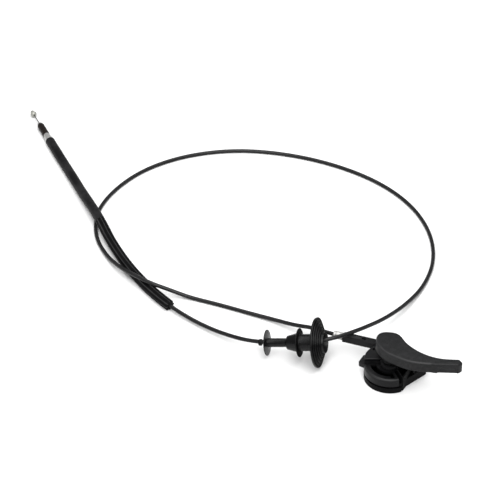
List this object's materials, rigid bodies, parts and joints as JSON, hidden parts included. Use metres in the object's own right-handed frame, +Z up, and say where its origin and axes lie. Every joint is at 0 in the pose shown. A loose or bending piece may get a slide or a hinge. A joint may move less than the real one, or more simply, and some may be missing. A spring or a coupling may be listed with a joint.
{
  "type": "hood release cable",
  "caption": "Pull lever on a round housing, with a long sheathed cable in a loop, a rubber panel grommet, protective sleeves and a wire nipple at the latch end.",
  "frame": {"origin": "centre of the round housing on the flat underside that it stands on", "axes": "+X to the side that the lever points to, +Y to the back where the cable's loop and latch end lie, +Z up along the lever's pivot"},
  "size_m": [0.5396, 0.6079, 0.0595],
  "materials": {
    "shell_plastic": "moulded black plastic with a fine grain and a low sheen",
    "lever_plastic": "moulded charcoal plastic with a fine even grain on its top",
    "drum_plastic": "smooth moulded black plastic",
    "plated_steel": "dull zinc plating",
    "steel_wire": "twisted steel strands, bright and slightly greasy",
    "bright_ferrule": "bright rolled metal",
    "cast_zinc": "dull grey die casting",
    "cable_sheath": "extruded black sheath with a soft gloss",
    "soft_rubber": "moulded soft black rubber, matt with rounded edges",
    "ribbed_rubber": "extruded black rubber with ribs along it",
    "foam_sleeve": "smooth soft black sleeve, matt",
    "cap_plastic": "smooth black plastic with a faint warm tone"
  },
  "bodies": {
    "handle_base": {"base_shell": "shell_plastic", "housing": "shell_plastic", "base_screws": "plated_steel", "cable_cover": "shell_plastic", "handle_wire": "steel_wire", "handle_ferrule": "bright_ferrule", "conduit": "cable_sheath", "grommet": "soft_rubber", "stop_ring": "drum_plastic", "ribbed_sleeve": "ribbed_rubber", "smooth_sleeve": "foam_sleeve", "latch_band": "bright_ferrule", "latch_cap": "cap_plastic"},
    "pull_lever": {"lever": "lever_plastic", "cable_drum": "drum_plastic", "handle_nipple": "cast_zinc", "lever_screw": "plated_steel", "lever_washer": "plated_steel"},
    "latch_end": {"latch_wire": "steel_wire", "latch_nipple": "cast_zinc"}
  },
  "joints": [
    {"name": "lever_turn", "type": "hinge", "parent": "handle_base", "child": "pull_lever", "pos_m": [0, 0, 0.03], "axis": [0, 0, 1], "range_deg": [-40, 0]},
    {"name": "latch_slide", "type": "slide", "parent": "handle_base", "child": "latch_end", "axis": [0.3713, -0.9284, 0.0155], "range_m": [0, 0.0169]}
  ],
  "couplings": [
    {"joint": "latch_slide", "follows": "lever_turn", "m_per_rad": -0.0242}
  ]
}
